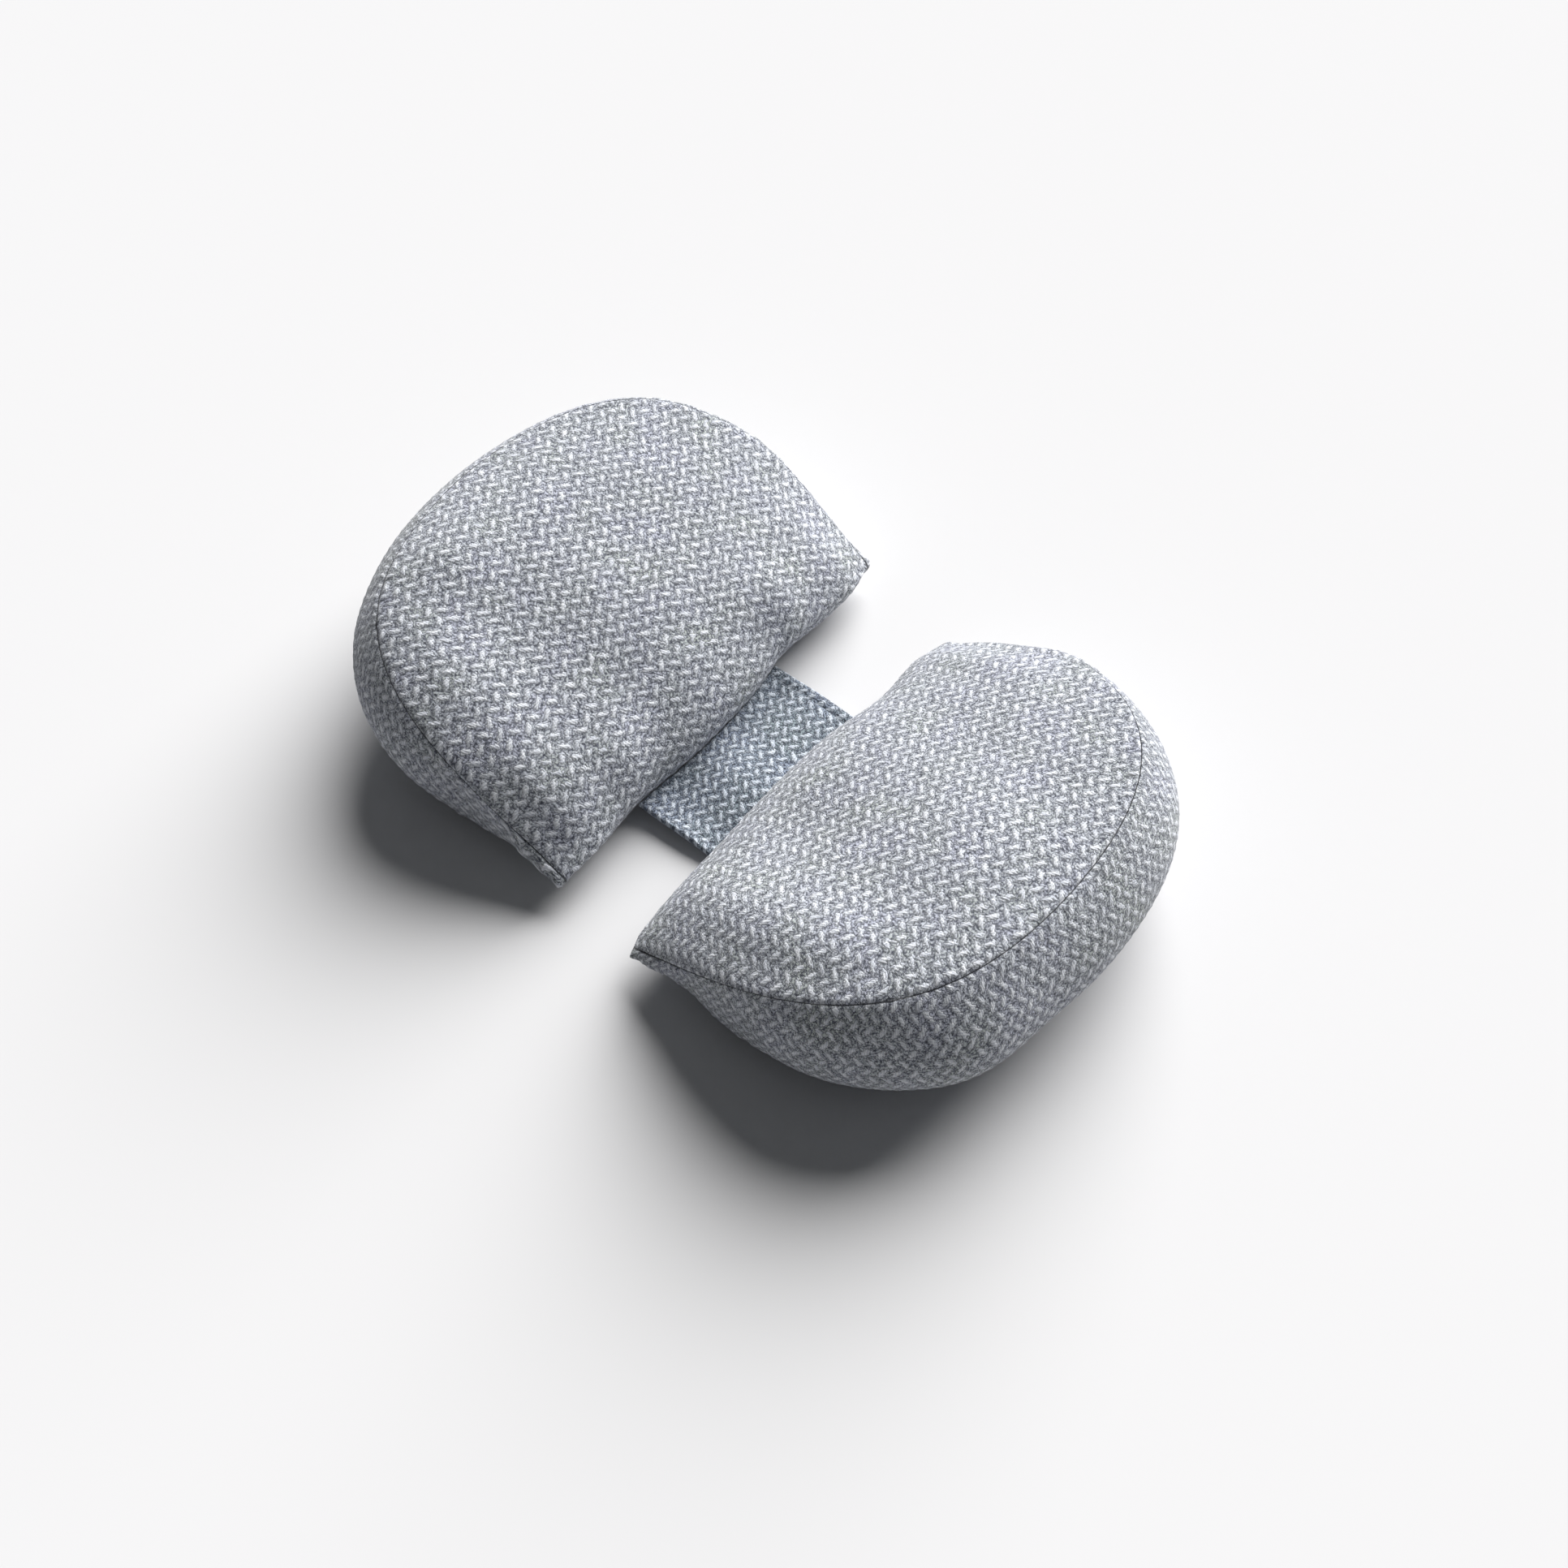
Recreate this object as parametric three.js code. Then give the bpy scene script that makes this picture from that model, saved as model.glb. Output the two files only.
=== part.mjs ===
// A double wedge pillow: two stuffed half-moon wedges, thin at their straight inner edges, and the doubled
// cloth strap that joins them. Millimetres, +Z up. The origin is on the floor under the pillow's middle,
// +X runs along the whole length and +Y along the wedges' straight edges.
import * as THREE from 'three';

// One stuffed wedge, laid out from its straight edge: x outwards, y along the straight edge, z up.
const wedge = {
  depth: 159,             // from the line between the corner tips to the outermost point of the seam
  halfEdge: 116.5,        // half of the straight edge, from its middle to a corner tip
  sideSplay: 9,           // degrees that the sides lean outwards where they leave the tips
  sidePull: 0.88,         // how far the sides run on before they turn, as a share of the depth
  rimPull: 0.55,          // how far the outer rim runs before it turns, as a share of halfEdge
  tipHeight: 17,          // height of the corner tips above the floor
  rimHeight: 84,          // height of the top seam at the outer rim
  seamRise: 1.7,          // how early the top seam climbs between the two, 1 being a straight ramp
  noseHeight: 45,         // thickness of the rolled inner edge at its middle
  rampCurve: 1.1,         // how late the middle of the top climbs from the nose to the rim
  crown: 12,              // how far the stuffing lifts the middle of the top above that ramp
  crownShoulder: 2.4,     // how far the crown keeps its height across, before it falls to the side seams
  noseRoll: 28,           // how far in from the inner edge the roll reaches, at its middle
  noseTaper: 0.8,         // share of the roll that is lost by the corner tips
  noseEquator: 0.5,       // height of the foremost line of the roll, as a share of noseHeight
  noseBow: 4.5,           // how far the middle of the inner edge bulges past the line between the tips
  underSeamHeight: 9,     // height of the lower seam above the floor round the rim
  underSeamFall: 0.2,     // share of the depth in which the lower seam comes down from the tips
  flatShare: 0.66,        // share of the underside that lies flat on the floor
  gussetBulge: 0.34,      // how far the side panel swells outwards at the rim, as a share of its height
  gussetTaper: 1.2,       // how fast that swelling dies away where the side panel gets lower
};

// How the wedges lie: the middle of each tip line, the turn from its outward direction along +X, and how much
// larger or smaller the stuffing has made it.
const places = {
  wedge_left: { x: -27.5, y: 9, turn: 180.4, size: 1.02 },
  wedge_right: { x: 27.5, y: -5.5, turn: -2.3, size: 0.98 },
};

// The doubled cloth strap between them.
const strap = {
  width: 108,
  thickness: 3,
  arch: 5,                // how far its middle stands off the floor
};

const cornerShare = 0.52; // where along the half outline a side panel edge turns into the outer rim
const acrossSteps = 32;   // steps of the panel from one side to the other
const outwardSteps = 20;  // steps of the panel from the straight edge to the rim
const gussetSteps = 6;    // steps down the side panel
const strapAlongSteps = 24;
const strapAcrossSteps = 12;
const clearance = 0.3;    // air that is kept between pieces

const cloth = { colour: 0x9ba0a8, roughness: 0.95, metalness: 0 };

const limit = (value) => Math.min(Math.max(value, 0), 1);
const mix = (from, to, share) => from + (to - from) * share;

// Half of the seam's outline in plan, from a corner tip at share 0 to the middle of the rim at share 1.
const splay = THREE.MathUtils.degToRad(wedge.sideSplay);
const sideReach = wedge.sidePull * wedge.depth;
const halfOutline = new THREE.CubicBezierCurve(
  new THREE.Vector2(0, wedge.halfEdge),
  new THREE.Vector2(sideReach * Math.cos(splay), wedge.halfEdge + sideReach * Math.sin(splay)),
  new THREE.Vector2(wedge.depth, wedge.rimPull * wedge.halfEdge),
  new THREE.Vector2(wedge.depth, 0),
);

function halfWidthAt(x) {
  let low = 0;
  let high = 1;
  for (let step = 0; step < 30; step += 1) {
    const middle = (low + high) / 2;
    if (halfOutline.getPoint(middle).x < x) low = middle;
    else high = middle;
  }
  return halfOutline.getPoint(low).y;
}

// The rolled inner edge, for a share of the way from its middle (0) to a corner tip (1): its bow in plan, how
// far in it reaches and the height of its foremost line.
const innerEdgeX = (tipShare) => -wedge.noseBow * (1 - tipShare ** 2.5);
const rollReach = (tipShare) => wedge.noseRoll * (1 - wedge.noseTaper * tipShare ** 3);
const equatorHeight = (tipShare) => mix(wedge.noseHeight * wedge.noseEquator, wedge.tipHeight, tipShare ** 2);

// A point of the panel in plan. across runs from -1 to 1 between the sides and outward from 0 at the straight
// edge to 1 at the rim. The four edge curves are blended so that each of them is met exactly.
function panelPlan(across, outward) {
  const side = halfOutline.getPoint(outward * cornerShare);
  const corner = halfOutline.getPoint(cornerShare);
  const rim = halfOutline.getPoint(1 - Math.abs(across) * (1 - cornerShare));
  const share = (across + 1) / 2;
  const innerY = across * wedge.halfEdge;
  const rimY = rim.y * Math.sign(across);
  const x = mix(innerEdgeX(Math.abs(across)), rim.x, outward) + side.x - mix(0, corner.x, outward);
  const y = mix(innerY, rimY, outward) + mix(-side.y, side.y, share)
    - mix(mix(-wedge.halfEdge, wedge.halfEdge, share), mix(-corner.y, corner.y, share), outward);
  return new THREE.Vector2(x, y);
}

const topSeamHeight = (depthShare) => mix(wedge.tipHeight, wedge.rimHeight, 1 - (1 - depthShare) ** wedge.seamRise);
const underSeamHeight = (depthShare) => mix(wedge.underSeamHeight, wedge.tipHeight,
  Math.exp(-depthShare / wedge.underSeamFall));

// Heights of the top and of the underside over a point of the panel.
function panelHeights(across, outward, plan) {
  const depthShare = limit(plan.x / wedge.depth);
  const widthShare = limit(Math.abs(plan.y) / Math.max(halfWidthAt(plan.x), 1e-6));
  const seam = topSeamHeight(depthShare);
  const ridge = mix(wedge.noseHeight, wedge.rimHeight, depthShare ** wedge.rampCurve)
    + wedge.crown * 4 * depthShare * (1 - depthShare);
  const fullTop = mix(ridge, seam, widthShare ** wedge.crownShoulder);

  const edgeShare = (Math.abs(across) ** 8 + outward ** 8) ** (1 / 8);
  const lift = limit((edgeShare - wedge.flatShare) / (1 - wedge.flatShare)) ** 2;
  const fullUnder = underSeamHeight(depthShare) * lift;

  // The roll is a quarter ellipse above and below its foremost line.
  const tipShare = limit(Math.abs(plan.y) / wedge.halfEdge);
  const inside = limit((plan.x - innerEdgeX(tipShare)) / rollReach(tipShare));
  const fullness = Math.sqrt(1 - (1 - inside) ** 2);
  const equator = equatorHeight(tipShare);
  return { top: mix(equator, fullTop, fullness), under: mix(equator, fullUnder, fullness) };
}

// Collects the points and faces of one closed solid.
function solidBuilder() {
  const points = [];
  const faces = [];
  const addPoint = (x, y, z) => points.push(new THREE.Vector3(x, y, z)) - 1;
  const addFace = (a, b, c) => {
    if (a !== b && b !== c && c !== a) faces.push(a, b, c);
  };
  const addQuad = (a, b, c, d) => {
    addFace(a, b, c);
    addFace(a, c, d);
  };
  // A grid of points faces up when its first index runs with y and its second with x, or down if flipped.
  const addGrid = (grid, flipped) => {
    for (let i = 0; i < grid.length - 1; i += 1) {
      for (let j = 0; j < grid[i].length - 1; j += 1) {
        const [near, right, far, left] = [grid[i][j], grid[i][j + 1], grid[i + 1][j + 1], grid[i + 1][j]];
        if (flipped) addQuad(near, left, far, right);
        else addQuad(near, right, far, left);
      }
    }
  };
  // A wall between two rows of points, the first above the second, seen from outside running to the right.
  const addWall = (upper, lower) => {
    for (let k = 0; k < upper.length - 1; k += 1) addQuad(upper[k], lower[k], lower[k + 1], upper[k + 1]);
  };
  const geometry = () => {
    const made = new THREE.BufferGeometry().setFromPoints(points);
    made.setIndex(faces);
    made.computeVertexNormals();
    return made;
  };
  return { points, addPoint, addGrid, addWall, geometry };
}

// A closed wedge: top panel, underside and the side panel that joins them along the curved seam.
function wedgeGeometry() {
  const solid = solidBuilder();
  const top = [];
  const under = [];
  for (let i = 0; i <= acrossSteps; i += 1) {
    const across = (2 * i) / acrossSteps - 1;
    top.push([]);
    under.push([]);
    for (let j = 0; j <= outwardSteps; j += 1) {
      const even = j / outwardSteps;
      const outward = mix(even, even ** 1.5, 0.6); // closer steps round the roll
      const plan = panelPlan(across, outward);
      const height = panelHeights(across, outward, plan);
      top[i].push(solid.addPoint(plan.x, plan.y, height.top));
      under[i].push(j === 0 ? top[i][0] : solid.addPoint(plan.x, plan.y, height.under));
    }
  }
  solid.addGrid(top, false);
  solid.addGrid(under, true);

  // The seam as a list of grid places, from one corner tip round the rim to the other.
  const seamPlaces = [];
  for (let j = 0; j < outwardSteps; j += 1) seamPlaces.push([0, j]);
  for (let i = 0; i < acrossSteps; i += 1) seamPlaces.push([i, outwardSteps]);
  for (let j = outwardSteps; j >= 0; j -= 1) seamPlaces.push([acrossSteps, j]);
  const seam = seamPlaces.map(([i, j]) => ({ high: top[i][j], low: under[i][j] }));

  let upper = seam.map((place) => place.high);
  for (let row = 1; row <= gussetSteps; row += 1) {
    const down = row / gussetSteps;
    const lower = seam.map((place, index) => {
      if (place.high === place.low || row === gussetSteps) return place.low;
      const high = solid.points[place.high];
      const low = solid.points[place.low];
      const before = solid.points[seam[index - 1].high];
      const after = solid.points[seam[index + 1].high];
      const out = new THREE.Vector2(after.y - before.y, before.x - after.x).normalize();
      const height = high.z - low.z;
      const swell = wedge.gussetBulge * height * (height / wedge.rimHeight) ** wedge.gussetTaper;
      const bulge = swell * 4 * down * (1 - down);
      return solid.addPoint(high.x + out.x * bulge, high.y + out.y * bulge, mix(high.z, low.z, down));
    });
    solid.addWall(upper, lower);
    upper = lower;
  }
  return solid.geometry();
}

// The x at which a wedge's underside comes down to a height, for a y of the whole pillow.
function tuckX(place, y, height) {
  const turn = THREE.MathUtils.degToRad(place.turn);
  const along = (y - place.y) / (place.size * Math.cos(turn));
  const tipShare = limit(Math.abs(along) / wedge.halfEdge);
  const fullness = 1 - height / (place.size * equatorHeight(tipShare));
  const depth = innerEdgeX(tipShare) + rollReach(tipShare) * (1 - Math.sqrt(1 - fullness ** 2));
  return place.x + place.size * (depth * Math.cos(turn) - along * Math.sin(turn));
}

// The strap lies on the floor, arches a little between the wedges and ends where their undersides meet it.
function strapGeometry() {
  const solid = solidBuilder();
  const top = [];
  const under = [];
  const halfGap = places.wedge_right.x - wedge.noseBow;
  for (let i = 0; i <= strapAcrossSteps; i += 1) {
    const y = strap.width * (i / strapAcrossSteps - 0.5);
    const left = tuckX(places.wedge_left, y, strap.thickness + clearance);
    const right = tuckX(places.wedge_right, y, strap.thickness + clearance);
    top.push([]);
    under.push([]);
    for (let j = 0; j <= strapAlongSteps; j += 1) {
      const x = mix(left, right, j / strapAlongSteps);
      const lift = strap.arch * Math.cos((Math.PI / 2) * limit(Math.abs(x) / halfGap)) ** 2;
      top[i].push(solid.addPoint(x, y, lift + strap.thickness));
      under[i].push(solid.addPoint(x, y, lift));
    }
  }
  solid.addGrid(top, false);
  solid.addGrid(under, true);
  const column = (grid, j) => grid.map((row) => row[j]);
  solid.addWall(top[0], under[0]);
  solid.addWall(column(top, strapAlongSteps), column(under, strapAlongSteps));
  solid.addWall(top[strapAcrossSteps].toReversed(), under[strapAcrossSteps].toReversed());
  solid.addWall(column(top, 0).toReversed(), column(under, 0).toReversed());
  return solid.geometry();
}

const clothMaterial = () => new THREE.MeshStandardMaterial({
  color: cloth.colour, roughness: cloth.roughness, metalness: cloth.metalness,
});

const pillow = new THREE.Group();

function addPiece(name, geometry, place) {
  const mesh = new THREE.Mesh(geometry, clothMaterial());
  mesh.name = name;
  mesh.scale.setScalar(place.size);
  mesh.rotation.z = THREE.MathUtils.degToRad(place.turn);
  mesh.position.set(place.x, place.y, 0);
  pillow.add(mesh);
}

const wedgeShape = wedgeGeometry();
addPiece('wedge_left', wedgeShape, places.wedge_left);
addPiece('wedge_right', wedgeShape, places.wedge_right);
addPiece('joining_strap', strapGeometry(), { x: 0, y: 0, turn: 0, size: 1 });

// The origin goes to the middle of the pillow's outline on the floor.
const middle = new THREE.Box3().setFromObject(pillow, true).getCenter(new THREE.Vector3());
for (const mesh of pillow.children) mesh.position.sub(middle.setZ(0));

export default pillow;
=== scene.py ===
import math
import bpy
import numpy as np
from mathutils import Matrix, Vector


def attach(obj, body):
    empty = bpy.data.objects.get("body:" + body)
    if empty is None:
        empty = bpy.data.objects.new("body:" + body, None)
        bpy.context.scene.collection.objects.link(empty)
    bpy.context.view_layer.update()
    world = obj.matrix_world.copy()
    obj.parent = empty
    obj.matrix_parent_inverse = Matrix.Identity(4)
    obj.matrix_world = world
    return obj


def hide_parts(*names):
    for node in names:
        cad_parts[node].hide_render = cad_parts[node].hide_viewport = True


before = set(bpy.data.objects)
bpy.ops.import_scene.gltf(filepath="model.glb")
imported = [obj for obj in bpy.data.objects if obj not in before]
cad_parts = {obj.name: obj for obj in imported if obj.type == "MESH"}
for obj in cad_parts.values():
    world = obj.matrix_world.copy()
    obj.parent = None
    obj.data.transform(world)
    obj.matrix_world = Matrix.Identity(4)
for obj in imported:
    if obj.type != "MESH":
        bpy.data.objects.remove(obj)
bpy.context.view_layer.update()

metre = 0.001  # metres in one of the script's millimetres


# low at a share of 0, high at 1, in a straight line
def mix(low, high, share):
    return low + (high - low) * share


# 3t^2 - 2t^3 between the two ends
def smoothStep(low, high, value):
    share = np.clip((value - low) / (high - low), 0, 1)
    return share * share * (3 - 2 * share)


# exp(-(value / reach)^2)
def bell(value, reach):
    return np.exp(-(value / reach) ** 2)


# sqrt(1 - (1 - share)^2), the height of a quarter circle
def quarterCircle(share):
    return np.sqrt(1 - (1 - np.clip(share, 0, 1)) ** 2)


# Length of a line so far: the sum of its chords along the last axis.
def lengthAlong(*lines):
    steps = np.sqrt(sum(np.diff(line, axis=-1) ** 2 for line in lines))
    start = np.zeros(steps.shape[:-1] + (1,))
    return np.concatenate([start, np.cumsum(steps, axis=-1)], axis=-1)


# Shares along a line in even steps of its length, with more of them near its end:
# even steps of length + crowd * exp(-(what is left) / reach).
def crowdedShares(count, length, crowd, reach):
    measure = length + crowd * np.exp(-(length[-1] - length) / reach)
    measure = (measure - measure[0]) / (measure[-1] - measure[0])
    return np.interp(np.linspace(0, 1, count + 1), measure, np.linspace(0, 1, len(length)))


# Corner numbers of a grid's quads, anticlockwise through (row, next column, next row).
def gridQuads(index):
    quads = [index[:-1, :-1], index[:-1, 1:], index[1:, 1:], index[1:, :-1]]
    return np.stack(quads, axis=-1).reshape(-1, 4)


# Quads of some patches, and both maps at their corners. A patch is a grid of point numbers with its cloth
# coordinates, its distances to the seam and its side of it.
def gridPatches(patches):
    quads, clothMap, seamMap = [], [], []
    for index, cloth, away, panelSide in patches:
        corners = gridQuads(np.arange(index.size).reshape(index.shape))
        marks = np.stack([away.ravel(), np.full(away.size, panelSide)], 1)
        quads.append(gridQuads(index))
        clothMap.append(cloth.reshape(-1, 2)[corners])
        seamMap.append(marks[corners])
    return [np.concatenate(part) for part in (quads, clothMap, seamMap)]


# Unit normals: the sum over the quads round a point of the cross products of their diagonals.
def pointNormals(points, quads):
    crosses = np.cross(points[quads[:, 2]] - points[quads[:, 0]], points[quads[:, 3]] - points[quads[:, 1]])
    normals = np.zeros_like(points)
    for corner in range(4):
        for axis in range(3):
            normals[:, axis] += np.bincount(quads[:, corner], crosses[:, axis], len(points))
    return normals / np.maximum(np.linalg.norm(normals, axis=1, keepdims=True), 1e-12)


# For each point the distance to the nearest mark and the mark's number, in slices to spare memory.
def nearestMark(points, marks, most=4_000_000):
    slices = np.array_split(points, max(1, len(points) * len(marks) // most))
    squares = (marks ** 2).sum(1)
    gaps = [squares[None] - 2 * part @ marks.T for part in slices]
    nearest = np.concatenate([gap.argmin(1) for gap in gaps])
    return np.linalg.norm(points - marks[nearest], axis=1), nearest


# A place in axes that are turned by degrees: (x cos + y sin, y cos - x sin).
def inTurnedAxes(x, y, degrees):
    cos, sin = math.cos(math.radians(degrees)), math.sin(math.radians(degrees))
    return x * cos + y * sin, y * cos - x * sin


# Turns a plan by degrees: (x cos - y sin, y cos + x sin).
def turned(points, degrees):
    x, y, z = points.T
    return np.stack([*inTurnedAxes(x, y, -degrees), z], 1)


# an object that the scene shows
def makeObject(name, data):
    made = bpy.data.objects.new(name, data)
    bpy.context.scene.collection.objects.link(made)
    return made


# A smooth mesh object at the origin. A corner that repeats the one before it is left out, so that a quad at
# a corner tip becomes a triangle. The cloth map holds millimetres of cloth, the seam map the distance to the
# nearest seam and the side of it.
def makePiece(name, points, quads, clothMap, seamMap):
    keep = quads != np.roll(quads, 1, axis=1)
    sizes = keep.sum(1)
    mesh = bpy.data.meshes.new(name)
    mesh.vertices.add(len(points))
    mesh.vertices.foreach_set("co", (points * metre).astype(np.float32).ravel())
    mesh.loops.add(int(sizes.sum()))
    mesh.loops.foreach_set("vertex_index", quads[keep].astype(np.int32))
    mesh.polygons.add(len(quads))
    mesh.polygons.foreach_set("loop_start", (np.cumsum(sizes) - sizes).astype(np.int32))
    mesh.polygons.foreach_set("use_smooth", np.ones(len(quads), bool))
    for label, values in (("clothMap", clothMap), ("seamMap", seamMap)):
        layer = mesh.uv_layers.new(name=label)
        layer.data.foreach_set("uv", values[keep].astype(np.float32).ravel())
    mesh.update(calc_edges=True)
    mesh.validate()
    print(name, len(points), "points", len(quads), "faces")
    return makeObject(name, mesh)


# The knit, in millimetres of cloth: short pale floats in two leaning directions, each kind on its own
# lattice, the second half a repeat away from the first both ways.
knit = dict(
    repeatAlong=6.65,  # from the straight edge outwards
    repeatAcross=11.2,  # along the straight edge
    floatLength=6.1,
    floatWidth=2.6,
    rise=0.4,  # how far the mesh lifts over a float
    seamClear=(0.4, 2.2),  # from a seam, where the floats begin to rise and are full
    wander=0.55,  # how far the rows stray from a straight line
    wanderLengths=(34, 61, 97),
)
floatKinds = ((56, 0), (-51, 0.5))  # lean in degrees, and share of a repeat that the lattice is moved by


# Height of the floats over the cloth, 0 to 1: exp(-(along / half length)^2 - (across / half width)^2).
def floatHeight(u, v):
    height = 0
    for lean, shift in floatKinds:
        cellU = u / knit["repeatAlong"] - shift
        cellV = v / knit["repeatAcross"] - shift
        inU = (cellU - np.round(cellU)) * knit["repeatAlong"]
        inV = (cellV - np.round(cellV)) * knit["repeatAcross"]
        along, across = inTurnedAxes(inU, inV, lean)
        lump = bell(along, knit["floatLength"] / 2) * bell(across, knit["floatWidth"] / 2)
        height = np.maximum(height, lump)
    return height


# Rows that wander: the sum of slow waves, sin(2 pi (position along a heading) / length + phase), over half
# their number, is added to each cloth coordinate.
def wandered(u, v, seed):
    draws = np.random.default_rng(seed)
    lengths, moved = knit["wanderLengths"], []
    for values in (u, v):
        shift = 0
        for length in lengths:
            heading, phase = draws.uniform(0, 2 * math.pi, 2)
            place = u * math.cos(heading) + v * math.sin(heading)
            shift = shift + np.sin(2 * math.pi * place / length + phase)
        moved.append(values + knit["wander"] * shift / (len(lengths) / 2))
    return np.stack(moved, -1)


# One stuffed wedge, laid out from its straight edge: x outwards, y along the straight edge, z up.
wedgeShape = dict(
    depth=159,  # from the line between the tips to the outermost point of the seam
    halfEdge=116.5,  # from the middle of the straight edge to a tip
    sideSplay=9,  # degrees that the sides lean outwards where they leave the tips
    sidePull=0.88,  # share of the depth that the sides run on before they turn
    rimPull=0.55,  # share of halfEdge that the outer rim runs before it turns
    cornerShare=0.52,  # where along the half outline a side turns into the outer rim
    tipHeight=17,  # height of the corner tips above the floor
    rimHeight=84,  # height of the top seam at the outer rim
    seamRise=1.7,  # how early the top seam climbs between the two
    noseHeight=45,  # thickness of the rolled inner edge at its middle
    rampCurve=1.1,  # how late the middle of the top climbs from the nose to the rim
    crown=12,  # how far the stuffing lifts the middle of the top above that ramp
    crownShoulder=2.4,  # how far the crown keeps its height across
    noseRoll=28,  # how far in the roll of the inner edge reaches, at its middle
    noseTaper=0.8,  # share of the roll that is lost by the corner tips
    noseEquator=0.5,  # height of the foremost line of the roll, as a share of noseHeight
    noseBow=4.5,  # how far its middle bulges past the line between the tips
    nosePowers=(2.5, 3, 2),  # how late bow, roll and foremost line change on the way to a tip
    underSeamHeight=9,  # height of the lower seam above the floor round the rim
    underSeamFall=0.2,  # share of the depth in which it comes down from the tips
    flatShare=0.66,  # share of the underside that lies flat on the floor
    flatSquareness=8,  # how square that flat part is
    gussetBulge=0.34,  # share of its height by which the side panel swells outwards at the rim
    gussetTaper=1.2,  # how fast that dies away where the side panel gets lower
)
wedgeDetail = dict(
    acrossSteps=208, outwardSteps=168, gussetSteps=46,
    outlineSteps=2000, fineSteps=4000,  # with which lines are measured
    outwardSamples=49, sidewaysSamples=33,
    seamCrowd=4.5,  # extra rows beside a seam, as millimetres of cloth
    seamCrowdReach=1.6,
    grooveDepth=0.7,  # how far the seam draws the cloth in
    grooveReach=1.0,
    pucker=0.45,  # height of the gathers beside the seam
    puckerStart=3, puckerReach=7, puckerPitch=13,
    lobe=6,  # how far the side panel swells into a round lobe at the tips
    lobeStart=3, lobeReach=10,
    creases=1.1,  # height of the waves in the side panel near the tips
    creaseStart=8, creaseReach=45, creasePitch=17,
    tuck=3.5,  # how far the lower seam is drawn in, and where along the seam from a tip
    tuckPlace=34, tuckReach=22, tuckFade=16,
    tipOpenStart=4, tipOpenFade=14, tipOpenReach=6,
    underStart=15,  # from a tip, where the swells of the lower seam are full
    rimStart=25,  # and those of the top seam and the side panel
    tipPushReach=14,  # how far round a tip the cloth follows it
    tipRound=4,  # and is rounded off
    tipRounds=24,
    tipClear=(1, 12),  # from a tip, where knit and groove begin and are full
    swellStart=(2, 22),  # from the seam, where the top's swells begin and are full
    shoulderReach=13,  # how far in from the seam the cloth is rolled highest
    noseDipFade=16,  # how far in the dips of the inner edge die away
    joinReach=15,  # and the fit of the top's cloth to the underside's
    easeHeights=(4, 50),  # of the side panel, where its cloth is eased fully and where it isn't at all
)
wedgePlaces = dict(
    wedge_left=dict(x=-23.92, y=6.56, turn=180.4, size=1.02, seed=3),
    wedge_right=dict(x=31.08, y=-7.94, turn=-2.3, size=0.98, seed=8),
)

# What the stuffing has made of each wedge. Hollows and swells of the top in the wedge's own plan: middle,
# reach along and aside, turn in degrees, height. Shoulders, where the top rolls over towards its seam, and
# swells of the side panel and of both seams: share of the way round, reach, how far out. Dips of the inner
# edge: place along it, reach, how far in. How far a tip's two seams part at once, up and down, so that the
# side panel ends blunt. For the side panel's two ends: how far the tip stands out, how much cloth lies along
# a millimetre of it, and how far the cloth leans over.
wedgeForms = dict(
    wedge_left=dict(
        topSwells=(
            (32, 92, 34, 17, 0, 2.8), (24, 36, 26, 24, 0, -3.0), (15, -20, 14, 20, 0, -1.8),
            (122, 28, 30, 40, 0, 3.6), (22, -95, 24, 16, 0, 1.7), (82, 84, 30, 20, 0, 3.0),
            (70, 12, 26, 26, 0, 2.0), (126, 46, 24, 19, 0, 1.8), (8, -56, 12, 14, 0, 3.2),
            (24, 104, 24, 12, 0, 1.2), (118, -22, 38, 44, 0, 3.0), (9, 61, 10, 14, 0, 2.6),
        ),
        shoulders=((0.64, 0.18, 3.6), (0.88, 0.08, 2.6)),
        sideSwells=(
            (0.63, 0.05, -2.5), (0.7, 0.05, -2.5), (0.77, 0.05, -2), (0.86, 0.05, -5.5), (0.96, 0.03, 3),
        ),
        underSwells=((0.87, 0.05, -2.4),),
        rimSwells=((0.17, 0.06, 3.5), (0.27, 0.05, 1.5), (0.5, 0.06, 1.5)),
        noseDips=((-50, 22, 5), (-100, 12, -1.5), (64, 28, 4.8)),
        tipOpen=(0.8, -7.2),
        tipPush=((0, 0), (-0.9, 1.8)),
        sideEase=(0.6, 0.5), sideLean=(0, 0),
    ),
    wedge_right=dict(
        topSwells=(
            (38, -88, 42, 16, 0, 3.7), (34, -34, 24, 20, 0, -2.4), (116, -24, 30, 34, 0, 3.2),
            (36, 98, 38, 14, 0, 2.6), (60, 46, 34, 22, 0, -1.8), (86, -80, 36, 22, 15, 4.0),
            (106, 6, 34, 26, 0, 2.2), (44, -70, 34, 16, 0, 1.4),
        ),
        shoulders=((0.32, 0.2, 2.2), (0.08, 0.09, 3.4)),
        sideSwells=(
            (0.04, 0.03, 2), (0.16, 0.07, -5.5), (0.27, 0.05, -2), (0.36, 0.04, 2.5), (0.44, 0.04, -1.8),
            (0.62, 0.05, 0.5), (0.73, 0.07, -3),
        ),
        underSwells=((0.1, 0.06, -1.8), (0.2, 0.06, -0.8)),
        rimSwells=((0.84, 0.05, 3.5), (0.93, 0.04, 1.5)),
        noseDips=((60, 24, 5), (-55, 14, 0.6), (-88, 16, 1.8)),
        tipOpen=(0.8, -5.2),
        tipPush=((-0.6, -0.7), (0, 0)),
        sideEase=(1.5, 0.6), sideLean=(0.6, 0),
    ),
)


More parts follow.
